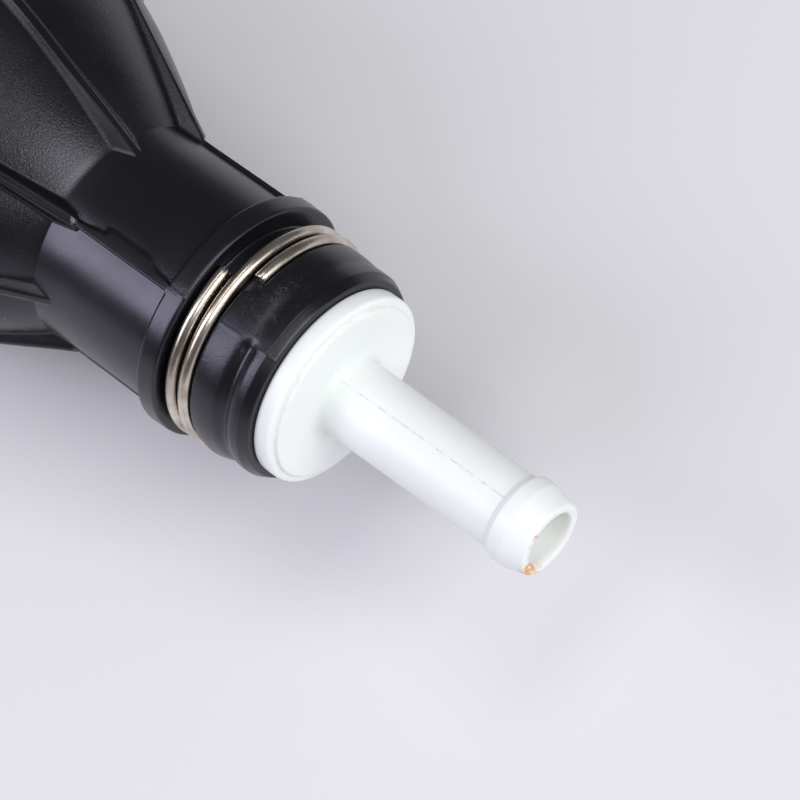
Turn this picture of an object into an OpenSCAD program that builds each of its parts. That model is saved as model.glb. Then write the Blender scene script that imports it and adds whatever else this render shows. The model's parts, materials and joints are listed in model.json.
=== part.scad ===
// Siphon bulb pump: a rubber hand bulb with a hose barb and a one-way valve
// at each end. It lies on its belly with its axis along X, and liquid runs
// towards +X, from the inlet to the outlet.
// Lengths are in millimetres and angles in degrees. Angles round the axis
// are counted from +Y towards +Z.

/* [Hose barb] */
// Diameter of the shank that the hose is pushed onto
shank_d = 8.5; // [7.8:0.1:9.6]
// Height of the crest above the shank
crest_h = 0.5; // [0.3:0.05:0.8]
// Length of the ramp from the shank up to the crest
crest_ramp = 0.8; // [0.4:0.1:1.6]
// Length of the crest's cylindrical land
crest_land = 1.5; // [1:0.1:2.4]
// Length of the lead-in taper at the tip
tip_len = 2.6; // [1.8:0.1:4]
// Radius that the lead-in taper loses
tip_drop = 0.7; // [0.4:0.05:0.9]
// Rounding of the tip's outer edge
tip_edge = 0.2; // [0.05:0.05:0.3]
// Length of the barb from the flange's rim face to the tip
barb_len = 27.4; // [20:0.2:36]
// Diameter of the bore through the barb
bore_d = 6.2; // [4.6:0.1:6.4]
// Radius of the fillet at the shank's foot
foot_r = 2.2; // [0.8:0.1:3]

/* [Flange] */
// Diameter of the flange that closes the rubber's end
flange_d = 21.8; // [20.6:0.1:24]
// Thickness of the flange at its rim
flange_t = 2.1; // [1.6:0.1:3]
// Rounding of the flange's front edge
flange_edge = 0.5; // [0.2:0.05:0.8]
// Rounding of the flange's back edge
flange_back_edge = 0.3; // [0.1:0.05:0.5]
// Width of the low rim round the raised disc
rim_w = 1; // [0.8:0.1:2]
// Height of the raised disc on the flange's face
disc_h = 0.4; // [0.2:0.05:0.8]

/* [Plug inside the neck] */
// Wall of the plug round the valve cartridge
plug_wall = 1.7; // [1.3:0.1:2.4]
// Depth of the plug's groove under the wire clip
plug_groove = 0.6; // [0.3:0.05:0.9]
// Distance from the flange's back to the cartridge's shoulder
shoulder_in = 2.9; // [2.4:0.1:5]
// Length of the funnel between the bore and the cartridge
funnel_len = 2.1; // [1.2:0.1:2.3]
// Length of the plug past the cartridge
mouth_len = 2.5; // [2:0.1:4]
// Height of the bead that snaps over the cartridge
bead_h = 0.25; // [0.1:0.05:0.4]
// Width of the bead
bead_w = 0.6; // [0.4:0.1:1]
// Chamfer at the plug's end
plug_chamfer = 0.6; // [0.3:0.1:1]

/* [Valve cartridge] */
// Diameter of the hole in the seat
seat_hole_d = 6.4; // [5:0.1:6.8]
// Thickness of the seat wall
seat_t = 3.2; // [2.6:0.1:5]
// Width of the lip that the washer closes on
lip_w = 0.8; // [0.5:0.05:0.95]
// Height of the lip
lip_h = 0.4; // [0.2:0.05:0.8]
// Gap for the flow round the poppet's head
flow_gap = 0.9; // [0.6:0.1:1.4]
// Wall of the cartridge round the poppet
body_wall = 1.8; // [1.5:0.1:2.4]
// Cord diameter of the O-ring round the cartridge
ring_cord = 1.2; // [1:0.05:1.4]
// Side play of the O-ring in its groove
ring_play = 0.2; // [0.1:0.05:0.4]
// Wall between the O-ring's groove and the cartridge's end
ring_land = 0.8; // [0.5:0.1:1]

/* [Valve poppet] */
// Diameter of the poppet's head
head_d = 9.4; // [9.2:0.1:10.4]
// Thickness of the head
head_t = 1.4; // [1:0.1:2]
// Thickness of the rubber washer under the head
washer_t = 1; // [0.6:0.1:1.6]
// How far the washer's edge lies inside the head's
washer_inset = 0.2; // [0.1:0.05:0.3]
// Diameter of the stem
stem_d = 3; // [2.4:0.1:3.4]
// Length of the stem past the cap when the valve is shut
stem_out = 1.2; // [0.6:0.1:1.6]
// How far the poppet lifts before its boss meets the cap
lift = 2.2; // [1.4:0.1:2.4]
// Wall of the boss round the stem's foot
boss_wall = 0.6; // [0.4:0.1:0.8]
// Length of the knob that holds the washer on
knob_len = 0.9; // [0.6:0.1:1.4]
// How far the knob stands out past the washer's hole
knob_grip = 0.35; // [0.2:0.05:0.5]

/* [Valve spring] */
// Length of the spring when the valve is shut
spring_len = 4.2; // [4:0.1:6]
// Diameter of the spring's wire
spring_wire_d = 0.5; // [0.4:0.05:0.5]
// Number of curls
spring_turns = 3.5; // [2.5:0.5:3.5]
// Gap between the boss and the spring
spring_side = 0.35; // [0.2:0.05:0.4]

/* [Valve cap] */
// Thickness of the cap
cap_t = 1.8; // [1.4:0.1:3]
// Width of the ledge that the cap sits on
cap_ledge = 0.45; // [0.3:0.05:0.6]
// Width of the cap's ring
cap_ring_w = 1.05; // [0.8:0.05:1.3]
// Hub of the cap past the spring's outside
hub_past = 0.3; // [0.1:0.05:0.4]
// Number of spokes
spoke_n = 3; // [3:1:4]
// Width of a spoke
spoke_w = 1.6; // [1:0.1:2]

/* [Bulb] */
// Diameter of the belly between the ribs
belly_d = 48.6; // [44:0.2:52]
// Distance from the belly's middle to the crease at the neck
belly_half = 30.5; // [27:0.5:36]
// Slope of the bulb at the crease
cone_angle = 30; // [27:0.5:33]
// Wall of the bulb
bulb_wall = 2.6; // [1.8:0.1:3]
// Wall of the neck
neck_wall = 3.25; // [2.6:0.05:4]
// Length of the neck from the crease to the collar
neck_len = 15.7; // [13:0.1:22]

/* [Ribs] */
// Number of ribs
rib_n = 8; // [4:4:8]
// Width of a rib
rib_w = 1.4; // [0.8:0.1:2]
// Height of the ribs on the belly
rib_h = 0.8; // [0.4:0.1:1.2]
// How far a rib reaches past the crease onto the neck
rib_lead = 1.5; // [0.8:0.1:2.4]
// Angle of the first rib
rib_clock = 22.5; // [15:0.5:30]

/* [Neck strips] */
// Number of raised strips along each neck
strip_n = 4; // [2:2:4]
// Height of a strip above the neck
strip_h = 0.45; // [0.2:0.05:0.8]
// Distance of a strip's straight side from the rib's centre line
strip_side = 0.75; // [0.5:0.05:1]
// Distance of its other side beside the rib's end
strip_narrow = 0.55; // [0.3:0.05:0.8]
// Distance of its other side along the wide pad
strip_pad = 1.3; // [0.9:0.05:1.6]
// Distance of its other side at the collar
strip_foot = 0.25; // [0.1:0.05:0.4]
// Length of the curve between the pad and the collar
strip_curve = 3; // [2:0.1:4]
// Distance from the rib's end to the wide pad
strip_lead = 4.3; // [2.5:0.1:5]

/* [Collar and cuff] */
// Rubber between the wire clip and the plug
clip_wall = 2.1; // [1.6:0.1:2.6]
// Height of the collar above the clip's seat
collar_h = 2.35; // [2:0.05:3]
// Width of the collar
collar_w = 2.5; // [1.8:0.1:3.5]
// Rounding of the collar's edges
collar_edge = 0.35; // [0.1:0.05:0.6]
// Height of the cuff above the clip's seat
cuff_h = 0.95; // [0.6:0.05:1.2]
// Height that the cuff loses towards its end
cuff_fall = 0.4; // [0.2:0.05:0.5]
// Width of the cuff between the clip and its end groove
cuff_w = 2.4; // [1.6:0.1:4]
// Width of the end groove
end_groove_w = 0.6; // [0.4:0.1:1]
// Depth of the end groove under the end lip
end_groove = 0.25; // [0.1:0.05:0.4]
// Length of the end lip
end_lip = 3.1; // [2:0.1:4]
// Rounding of the end lip's edge
end_edge = 0.6; // [0.3:0.1:0.9]

/* [Wire clip] */
// Diameter of the clip's wire
clip_wire_d = 1.35; // [1:0.05:1.4]
// Distance from one turn to the next
clip_pitch = 1.8; // [1.8:0.05:2.2]
// Number of turns
clip_turns = 1.98; // [1.5:0.02:2.5]
// Angle of the clip's end beside the collar
clip_start = 91; // [0:1:359]

/* [Flow arrow] */
// Length of the raised arrow on each side of the belly
arrow_len = 24; // [16:1:30]
// Width of the arrow's head
arrow_w = 9; // [6:0.5:12]
// Width of the arrow's shaft
arrow_shaft = 4; // [2.5:0.5:5]
// Length of the arrow's head
arrow_head = 10; // [6:0.5:12]
// Height of the arrow above the belly
arrow_h = 0.45; // [0.2:0.05:0.7]

/* [Fits] */
// Gap between the rubber and the plug
rubber_gap = 0.05; // [0.02:0.01:0.1]
// Gap between the cartridge and the plug
valve_gap = 0.1; // [0.05:0.01:0.15]
// Gap between the stem and the cap's hub
slide_gap = 0.08; // [0.05:0.01:0.1]
// Gap between the valve's pressed or resting pieces
seat_gap = 0.05; // [0.03:0.01:0.08]
// Gap between the wire clip and the rubber
clip_gap = 0.1; // [0.05:0.01:0.2]

/* [Hidden] */
$fn = 96;

// Segments of a small rounding, of the belly's arc and of a strip's curve
edge_steps = 4;
arc_steps = 14;
curve_steps = 6;
// Rings in one turn of the clip and of the spring, and sides of their wire
clip_rings = 24;
spring_rings = 8;
wire_sides = 6;

// Hose barb and flange, with x counted from the flange's rim face
shank_r = shank_d / 2;
crest_r = shank_r + crest_h;
tip_r = crest_r - tip_drop;
bore_r = bore_d / 2;
crest_end = barb_len - tip_len;
flange_r = flange_d / 2;
disc_r = flange_r - rim_w;

// Valve, from the poppet outwards
stem_r = stem_d / 2;
head_r = head_d / 2;
washer_r = head_r - washer_inset;
boss_r = stem_r + boss_wall;
spring_r = boss_r + spring_side + spring_wire_d / 2;
hub_r = spring_r + spring_wire_d / 2 + hub_past;
lip_r = seat_hole_d / 2 + lip_w;
valve_bore_r = head_r + flow_gap;
body_r = valve_bore_r + body_wall;
cap_r = valve_bore_r + cap_ledge;
cap_seat_r = cap_r + seat_gap;

// Valve, along the flow from the cartridge's upstream end
lip_u = seat_t + lip_h;
washer_u = lip_u + seat_gap;
head_u = washer_u + washer_t;
spring_u = head_u + head_t;
cap_u = spring_u + spring_len;
body_len = cap_u + cap_t;

// Plug and rubber, from the cartridge outwards
chamber_r = body_r + valve_gap;
ring_floor_r = chamber_r - ring_cord - 2 * seat_gap;
plug_r = chamber_r + plug_wall;
plug_groove_r = plug_r - plug_groove;
funnel_r = cap_r - cap_ring_w;
rubber_r = plug_r + rubber_gap;
clip_seat_r = rubber_r + clip_wall;
neck_r = rubber_r + neck_wall;
collar_r = clip_seat_r + collar_h;
cuff_r = clip_seat_r + cuff_h;
cuff_end_r = cuff_r - cuff_fall;
end_groove_r = cuff_end_r - end_groove;
clip_r = clip_seat_r + clip_gap + clip_wire_d / 2;

// Places along the outlet half, from the belly's middle
collar_x = belly_half + neck_len;
clip_seat_x = collar_x + collar_w;
clip_span = clip_turns * clip_pitch;
clip_first_x = clip_seat_x + clip_gap + clip_wire_d / 2;
cuff_x = clip_first_x + clip_span + clip_wire_d / 2 + clip_gap;
end_groove_x = cuff_x + cuff_w;
end_lip_x = end_groove_x + end_groove_w;
rubber_end_x = end_lip_x + end_lip;
face_x = rubber_end_x + flange_t;
shoulder_x = rubber_end_x - shoulder_in;
plug_end_x = shoulder_x - body_len - mouth_len;
bead_x = shoulder_x - body_len - seat_gap;

// Belly arc, tangent to the cone that leaves the crease at the cone's slope
belly_r = belly_d / 2;
belly_rise = belly_r - neck_r;
belly_arc = (belly_half * tan(cone_angle) - belly_rise)
    / (tan(cone_angle) * sin(cone_angle) - 1 + cos(cone_angle));
belly_c = belly_r - belly_arc;

// Rib crest: a straight run from the neck, tangent to the belly's rib arc
rib_arc = belly_arc + rib_h;
rib_foot_x = belly_half + rib_lead;
rib_foot_dist = norm([rib_foot_x, neck_r - belly_c]);
rib_turn = 90 - atan2(neck_r - belly_c, rib_foot_x)
    - acos(min(1, rib_arc / rib_foot_dist));

// Points [x, r] of an arc round [cx, cr], from angle a0 to angle a1
function arc(cx, cr, r, a0, a1, steps = edge_steps) =
    [for (i = [0:steps]) let (a = a0 + (a1 - a0) * i / steps)
        [cx + r * cos(a), cr + r * sin(a)]];
// The same points run backwards, and run backwards on the inlet half
function back(pts) = [for (i = [len(pts) - 1:-1:0]) pts[i]];
function inlet_half(pts) = [for (p = back(pts)) [-p[0], p[1]]];
// Both halves of an outline that starts at the belly's middle
function both_halves(pts) =
    concat(inlet_half([for (i = [1:len(pts) - 1]) pts[i]]), pts);
// Smooth step from 0 to 1
function ease(t) = (1 - cos(180 * t)) / 2;

// Solid turned round the X axis from an outline of [x, r] points
module turned(pts) {
    rotate([0, 90, 0]) rotate_extrude()
        polygon([for (p = pts) [p[1], p[0]]]);
}

// Copies of a piece turned evenly round the axis
module round_axis(n, first = 0) {
    for (i = [0:n - 1]) rotate([first + i * 360 / n, 0, 0]) children();
}

// Turns a piece of the outlet end about Z, so that it fits the inlet end
module at_inlet() {
    rotate([0, 0, 180]) children();
}

/* ---- Wire forms ---- */

// Rings of points round a helix about X: one list of six points per ring
function coil_rings(r, wire_r, x0, pitch, turns, a0, per_turn) =
    let (n = ceil(turns * per_turn))
    [for (i = [0:n]) let (t = min(i / per_turn, turns), a = a0 + 360 * t)
        [for (k = [0:wire_sides - 1]) let (w = 360 * (k + 0.5) / wire_sides)
            let (rr = r + wire_r * cos(w))
            [x0 + pitch * t + wire_r * sin(w), rr * cos(a), rr * sin(a)]]];

// Least distance between points that lie from half a turn to 1.5 turns apart
function coil_gap(rings, per_turn) =
    min([for (i = [0:len(rings) - 1])
         for (j = [i + ceil(per_turn / 2):1:min(i + per_turn * 1.5, len(rings) - 1)])
         for (p = rings[i]) for (q = rings[j]) norm(p - q)]);

// One unbroken tube through the rings
module coil(rings) {
    n = len(rings);
    last = (n - 1) * wire_sides;
    polyhedron(
        points = [for (ring = rings) for (p = ring) p],
        faces = concat(
            [for (i = [0:n - 2]) for (k = [0:wire_sides - 1])
             let (m = (k + 1) % wire_sides, b = i * wire_sides, c = b + wire_sides)
             for (f = [[b + k, b + m, c + k], [b + m, c + m, c + k]]) f],
            [for (k = [1:wire_sides - 2]) [0, k + 1, k]],
            [for (k = [1:wire_sides - 2]) [last, last + k, last + k + 1]]));
}

clip_coil = coil_rings(clip_r, clip_wire_d / 2, clip_first_x, clip_pitch,
                       clip_turns, clip_start, clip_rings);
spring_coil = coil_rings(spring_r, spring_wire_d / 2,
                         spring_u + seat_gap + spring_wire_d / 2,
                         (spring_len - 2 * seat_gap - spring_wire_d) / spring_turns,
                         spring_turns, 0, spring_rings);
echo(clip_least_gap = coil_gap(clip_coil, clip_rings));
echo(spring_least_gap = coil_gap(spring_coil, spring_rings));

/* ---- Rubber bulb ---- */

// Outside of the bulb's outlet half, raised by h on the cone and the belly
function bulb_side(h = 0) =
    concat(arc(0, belly_c, belly_arc + h, 90, 90 - cone_angle, arc_steps),
           [[belly_half + h * tan(cone_angle / 2), neck_r + h]]);

// Cuff, end groove and end lip beyond the clip's seat
function cuff_side() = concat(
    [[cuff_x, clip_seat_r], [cuff_x, cuff_r], [end_groove_x, cuff_end_r],
     [end_groove_x, end_groove_r], [end_lip_x, end_groove_r],
     [end_lip_x, cuff_end_r]],
    arc(rubber_end_x - end_edge, cuff_end_r - end_edge, end_edge, 90, 0));

// Collar with rounded edges
function collar_side() = concat(
    [[collar_x, neck_r]],
    arc(collar_x + collar_edge, collar_r - collar_edge, collar_edge, 180, 90),
    arc(clip_seat_x - collar_edge, collar_r - collar_edge, collar_edge, 90, 0),
    [[clip_seat_x, clip_seat_r]]);

// Inside of the bulb: the cavity, the neck's bore and the bead for the plug's groove
function bulb_inside() =
    let (wall_r = belly_arc - bulb_wall,
         cone_x = wall_r * sin(cone_angle),
         cone_r = belly_c + wall_r * cos(cone_angle))
    concat(arc(0, belly_c, wall_r, 90, 90 - cone_angle, arc_steps),
           [[cone_x + (cone_r - rubber_r) / tan(cone_angle), rubber_r],
            [clip_first_x + rubber_gap, rubber_r],
            [clip_first_x + rubber_gap, plug_groove_r + rubber_gap],
            [clip_first_x + clip_span - rubber_gap, plug_groove_r + rubber_gap],
            [clip_first_x + clip_span - rubber_gap, rubber_r],
            [rubber_end_x, rubber_r]]);

module bulb_shell() {
    turned(concat(both_halves(concat(bulb_side(), collar_side(), cuff_side())),
                  back(both_halves(bulb_inside()))));
}

// Rib along the whole bulb, in the plane of X and Y
module rib() {
    crest = concat(arc(0, belly_c, rib_arc, 90, 90 - rib_turn, arc_steps),
                   [[rib_foot_x, neck_r]]);
    root = concat(arc(0, belly_c, belly_arc - bulb_wall / 2, 90, 90 - cone_angle, arc_steps),
                  [[rib_foot_x, neck_r - neck_wall / 2]]);
    translate([0, 0, -rib_w / 2]) linear_extrude(rib_w)
        polygon(concat(both_halves(crest), back(both_halves(root))));
}

// Plan of a neck strip, from inside the rib's foot to the collar, as [x, across]
function strip_plan() =
    let (start = rib_foot_x - rib_lead / 2, pad = rib_foot_x + strip_lead,
         curve = collar_x - strip_curve)
    concat([[start, -strip_side], [start, strip_narrow],
            [pad - strip_pad + strip_narrow, strip_narrow], [pad, strip_pad]],
           [for (i = [0:curve_steps]) let (t = i / curve_steps)
               [curve + strip_curve * t,
                strip_pad + (strip_foot - strip_pad) * ease(t)]],
           [[collar_x + collar_w / 2, strip_foot], [collar_x + collar_w / 2, -strip_side]]);

// The four strips of the outlet's neck, standing on the neck
module neck_strips() {
    intersection() {
        turned([[belly_half, neck_r - neck_wall / 2], [belly_half, neck_r + strip_h],
                [collar_x + collar_w / 2, neck_r + strip_h],
                [collar_x + collar_w / 2, neck_r - neck_wall / 2]]);
        round_axis(strip_n, rib_clock)
            rotate([-90, 0, 0]) linear_extrude(neck_r + collar_h) polygon(strip_plan());
    }
}

// Raised arrow on the belly, pointing along the flow, seen from +Y
module arrow() {
    tip = arrow_len / 2;
    neck = tip - arrow_head;
    intersection() {
        turned(both_halves(concat(
            arc(0, belly_c, belly_arc + arrow_h, 90, 90 - cone_angle, arc_steps),
            [[belly_arc * sin(cone_angle), 0]])));
        translate([0, belly_r - bulb_wall, 0]) rotate([-90, 0, 0])
            linear_extrude(bulb_wall + arrow_w)
            polygon([[-tip, -arrow_shaft / 2], [neck, -arrow_shaft / 2],
                     [neck, -arrow_w / 2], [tip, 0], [neck, arrow_w / 2],
                     [neck, arrow_shaft / 2], [-tip, arrow_shaft / 2]]);
    }
}

module bulb() color("#1b1b1f") {
    union() {
        bulb_shell();
        round_axis(rib_n, rib_clock) rib();
        neck_strips();
        mirror([1, 0, 0]) neck_strips();
        round_axis(2) arrow();
    }
}

/* ---- Fitting: barb, flange and plug in one moulding ---- */

function fitting_outside() = concat(
    [[barb_len, bore_r], [barb_len, tip_r - tip_edge], [barb_len - tip_edge, tip_r],
     [crest_end, crest_r], [crest_end - crest_land, crest_r],
     [crest_end - crest_land - crest_ramp, shank_r]],
    arc(disc_h + foot_r, shank_r + foot_r, foot_r, 270, 180),
    [[disc_h, disc_r], [0, disc_r]],
    arc(-flange_edge, flange_r - flange_edge, flange_edge, 0, 90),
    [[-flange_t + flange_back_edge, flange_r], [-flange_t, flange_r - flange_back_edge],
     [-flange_t, plug_r],
     [clip_first_x + clip_span - face_x, plug_r],
     [clip_first_x + clip_span - face_x, plug_groove_r],
     [clip_first_x - face_x, plug_groove_r],
     [clip_first_x - face_x, plug_r],
     [plug_end_x + plug_chamfer - face_x, plug_r],
     [plug_end_x - face_x, plug_r - plug_chamfer]]);

function fitting_inside() =
    [[plug_end_x - face_x, chamber_r + bead_h], [plug_end_x + bead_h * 2 - face_x, chamber_r],
     [bead_x - bead_w - face_x, chamber_r], [bead_x - bead_w / 2 - face_x, chamber_r - bead_h],
     [bead_x - face_x, chamber_r], [shoulder_x - face_x, chamber_r],
     [shoulder_x - face_x, funnel_r], [shoulder_x + funnel_len - face_x, bore_r]];

module fitting() color("#e9ecf0") {
    translate([face_x, 0, 0]) turned(concat(fitting_outside(), fitting_inside()));
}

module outlet_fitting() fitting();
module inlet_fitting() at_inlet() fitting();

/* ---- Wire clips ---- */

module clip() color("#c9c3ba") coil(clip_coil);

module outlet_clip() clip();
module inlet_clip() at_inlet() clip();

/* ---- Valve cartridge, drawn with its upstream end at x = 0 ---- */

// Where the cartridge starts at each end: the flow runs the same way in both
outlet_valve_x = shoulder_x - body_len;
inlet_valve_x = -shoulder_x;

module valve_body() color("#f2f2ee") {
    turned([[0, seat_hole_d / 2], [0, body_r], [ring_land, body_r],
            [ring_land, ring_floor_r], [ring_land + ring_cord + ring_play, ring_floor_r],
            [ring_land + ring_cord + ring_play, body_r], [body_len, body_r],
            [body_len, cap_seat_r], [cap_u, cap_seat_r], [cap_u, valve_bore_r],
            [seat_t, valve_bore_r], [seat_t, lip_r], [lip_u, lip_r],
            [lip_u, seat_hole_d / 2]]);
}

module valve_ring() color("#2a2a2c") {
    translate([ring_land + (ring_cord + ring_play) / 2, 0, 0]) rotate([0, 90, 0])
        rotate_extrude()
        translate([chamber_r - seat_gap - ring_cord / 2, 0]) circle(d = ring_cord, $fn = 32);
}

module valve_poppet() color("#d9d4c4") {
    turned([[washer_u - seat_gap - knob_len, 0],
            [washer_u - seat_gap - knob_len, stem_r],
            [washer_u - seat_gap, stem_r + knob_grip], [washer_u - seat_gap, stem_r],
            [head_u, stem_r], [head_u, head_r], [spring_u, head_r],
            [spring_u, boss_r], [cap_u - lift - seat_gap, boss_r],
            [cap_u - lift - seat_gap, stem_r],
            [body_len + stem_out, stem_r], [body_len + stem_out, 0]]);
}

module valve_washer() color("#3a2f2a") {
    turned([[washer_u, stem_r + seat_gap], [washer_u, washer_r],
            [head_u, washer_r], [head_u, stem_r + seat_gap]]);
}

module valve_spring() color("#b9bcc2") coil(spring_coil);

module valve_cap() color("#e4dfcf") {
    turned([[cap_u, cap_r - cap_ring_w], [cap_u, cap_r],
            [body_len, cap_r], [body_len, cap_r - cap_ring_w]]);
    turned([[cap_u, stem_r + slide_gap], [cap_u, hub_r],
            [body_len, hub_r], [body_len, stem_r + slide_gap]]);
    intersection() {
        turned([[cap_u, hub_r - hub_past], [cap_u, cap_r - cap_ring_w / 2],
                [body_len, cap_r - cap_ring_w / 2], [body_len, hub_r - hub_past]]);
        round_axis(spoke_n, 90) translate([cap_u, 0, -spoke_w / 2])
            cube([cap_t, cap_r, spoke_w]);
    }
}

module outlet_valve_body() translate([outlet_valve_x, 0, 0]) valve_body();
module outlet_valve_ring() translate([outlet_valve_x, 0, 0]) valve_ring();
module outlet_valve_poppet() translate([outlet_valve_x, 0, 0]) valve_poppet();
module outlet_valve_washer() translate([outlet_valve_x, 0, 0]) valve_washer();
module outlet_valve_spring() translate([outlet_valve_x, 0, 0]) valve_spring();
module outlet_valve_cap() translate([outlet_valve_x, 0, 0]) valve_cap();

module inlet_valve_body() translate([inlet_valve_x, 0, 0]) valve_body();
module inlet_valve_ring() translate([inlet_valve_x, 0, 0]) valve_ring();
module inlet_valve_poppet() translate([inlet_valve_x, 0, 0]) valve_poppet();
module inlet_valve_washer() translate([inlet_valve_x, 0, 0]) valve_washer();
module inlet_valve_spring() translate([inlet_valve_x, 0, 0]) valve_spring();
module inlet_valve_cap() translate([inlet_valve_x, 0, 0]) valve_cap();

bulb();
outlet_fitting();
inlet_fitting();
outlet_clip();
inlet_clip();
outlet_valve_body();
outlet_valve_ring();
outlet_valve_poppet();
outlet_valve_washer();
outlet_valve_spring();
outlet_valve_cap();
inlet_valve_body();
inlet_valve_ring();
inlet_valve_poppet();
inlet_valve_washer();
inlet_valve_spring();
inlet_valve_cap();
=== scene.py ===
import json
import math

import bpy
import numpy as np
from mathutils import Matrix, Vector


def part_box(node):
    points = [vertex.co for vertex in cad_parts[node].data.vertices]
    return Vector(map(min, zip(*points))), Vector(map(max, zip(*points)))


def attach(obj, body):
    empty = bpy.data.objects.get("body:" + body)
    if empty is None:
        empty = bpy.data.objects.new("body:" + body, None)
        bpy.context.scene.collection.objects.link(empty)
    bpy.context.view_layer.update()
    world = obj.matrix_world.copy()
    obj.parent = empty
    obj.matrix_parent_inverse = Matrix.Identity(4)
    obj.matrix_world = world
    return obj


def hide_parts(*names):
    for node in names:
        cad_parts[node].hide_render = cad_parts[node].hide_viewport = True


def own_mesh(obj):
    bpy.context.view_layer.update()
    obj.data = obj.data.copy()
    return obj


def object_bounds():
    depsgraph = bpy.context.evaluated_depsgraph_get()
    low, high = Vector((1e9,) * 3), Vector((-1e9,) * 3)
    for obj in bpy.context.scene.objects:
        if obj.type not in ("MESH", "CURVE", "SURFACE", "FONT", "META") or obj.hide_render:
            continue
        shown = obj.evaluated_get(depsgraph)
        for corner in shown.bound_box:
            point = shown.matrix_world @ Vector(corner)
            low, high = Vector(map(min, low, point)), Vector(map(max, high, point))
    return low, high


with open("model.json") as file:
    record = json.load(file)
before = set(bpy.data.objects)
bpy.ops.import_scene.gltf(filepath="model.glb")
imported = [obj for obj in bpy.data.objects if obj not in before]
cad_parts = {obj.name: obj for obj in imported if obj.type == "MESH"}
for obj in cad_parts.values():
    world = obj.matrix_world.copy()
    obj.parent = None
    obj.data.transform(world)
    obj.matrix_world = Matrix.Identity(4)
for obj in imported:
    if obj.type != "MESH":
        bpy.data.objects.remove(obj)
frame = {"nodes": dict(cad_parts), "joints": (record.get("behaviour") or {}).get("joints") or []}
cad_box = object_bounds()

# Lengths are in millimetres until a mesh is made. Angles are in degrees and
# are counted round the X axis from +Y towards +Z, as in the CAD source. The
# rubber, fittings and clips of both ends are made from the outlet's sizes.
MM = 0.001


def box_mm(node):
    """Lowest and highest corner of a CAD node, in millimetres."""
    return [np.array(corner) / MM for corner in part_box(node)]


# ---- Places read from the frame ----

RUBBER_END = box_mm("bulb")[1][0]
BELLY_R = box_mm("bulb")[1][2]
PLUG_END = box_mm("outlet_fitting")[0][0]
TIP_X = box_mm("outlet_fitting")[1][0]
FLANGE_R = box_mm("outlet_fitting")[1][1]

# ---- Sizes shared by the rubber and the clip ----

NECK_R = 12.5
BORE_R = 9.25
CREASE_X = 30.5             # where the bulb's cone meets the neck
CONE = math.radians(30)
COLLAR_X, COLLAR_R = 46.2, 13.7
SEAT_X, SEAT_R = 48.7, 11.35
CUFF_X, CUFF_R = 53.81, 12.35
WIRE_R = 0.7
CLIP_R, CLIP_PITCH, CLIP_TURNS = 12.13, 1.8, 1.98
CLIP_START, CLIP_FIRST_X = 91.0, 49.475

RIB_CLOCK = 22.5
RIBS = [RIB_CLOCK + 45 * k for k in range(8)]
STRIPS = [RIB_CLOCK + 90 * k for k in range(4)]
SEAMS = [111.0, 291.0]
ARROWS = [0.0, 180.0]


# ---- Small helpers ----

def smooth(t):
    """Smooth step from 0 to 1."""
    t = np.clip(t, 0, 1)
    return t * t * (3 - 2 * t)


def between(x, places, values):
    """A value that goes smoothly from the first to the second between two places."""
    share = smooth((x - places[0]) / (places[1] - places[0]))
    return values[0] + (values[1] - values[0]) * share


def turn_between(a, b):
    """Signed angle from b to a, from -180 to 180."""
    return (np.asarray(a) - b + 180) % 360 - 180


def arc_from(angles, centre, r):
    """Signed length along the skin from the angle centre, at radius r."""
    return np.radians(turn_between(angles, centre)) * r


def bump_at(value, centre, width):
    """Soft bump, 1 at the centre and small one width away."""
    return np.exp(-((value - centre) / width) ** 2)


def patch(angles, x, at, wide, middle, long):
    """Soft patch on the skin: its angle and width, its place along X and length."""
    return bump_at(turn_between(angles, at), 0, wide) * bump_at(x, middle, long)


RADIAN = 57.3               # degrees, rounded


def parting_lines(seams, angles, r, width):
    """Thin lines along the skin at the seams' angles, 1 on each of them."""
    return sum(bump_at(turn_between(angles, s) * r / RADIAN, 0, width) for s in seams)


def soft_ramp(t, corner):
    """Straight ramp from 0 to 1 with rounded corners."""
    rise = (t + corner) ** 2 / (4 * corner)
    fall = 1 - (1 + corner - t) ** 2 / (4 * corner)
    middle = np.where(t < corner, rise, np.where(t > 1 - corner, fall, t))
    return np.where(t < -corner, 0.0, np.where(t > 1 + corner, 1.0, middle))


LAST_GAP = 0.1              # the last column stays this far from the first


def columns(zones, coarse):
    """Angles round the axis. A zone is (centres, half its width, spacing)."""
    angles, a = [], 0.0
    while a < 360 - LAST_GAP:
        angles.append(a)
        step = coarse
        for centres, half, spacing in zones:
            for centre in centres:
                gap = abs(float(turn_between(a, centre))) - half
                step = min(step, spacing if gap < 0 else max(spacing, gap))
        a += step
    return np.array(angles)


STRAIGHT = 0.01             # a corner this close to straight gets no arc
ARC_SHARE = 0.48            # the most of a stretch that an arc may use


def rounded(corners, steps=5):
    """Outline through corners (x, r, rounding), each with an arc."""
    out = []
    for i, (x, r, radius) in enumerate(corners):
        p = np.array([x, r], float)
        if radius == 0 or i in (0, len(corners) - 1):
            out.append(p)
            continue
        to_a = np.array(corners[i - 1][:2]) - p
        to_b = np.array(corners[i + 1][:2]) - p
        la, lb = np.linalg.norm(to_a), np.linalg.norm(to_b)
        ua, ub = to_a / la, to_b / lb
        half = math.acos(np.clip(ua @ ub, -1, 1)) / 2
        if half > math.pi / 2 - STRAIGHT:
            out.append(p)
            continue
        run = min(radius / math.tan(half), ARC_SHARE * min(la, lb))
        middle = p + (ua + ub) / np.linalg.norm(ua + ub) * run / math.cos(half)
        start, stop = p + ua * run - middle, p + ub * run - middle
        sweep = math.pi - 2 * half
        for k in range(steps + 1):
            t = k / steps
            arm = math.sin((1 - t) * sweep) * start + math.sin(t * sweep) * stop
            out.append(middle + arm / math.sin(sweep))
    return np.array(out)


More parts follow.
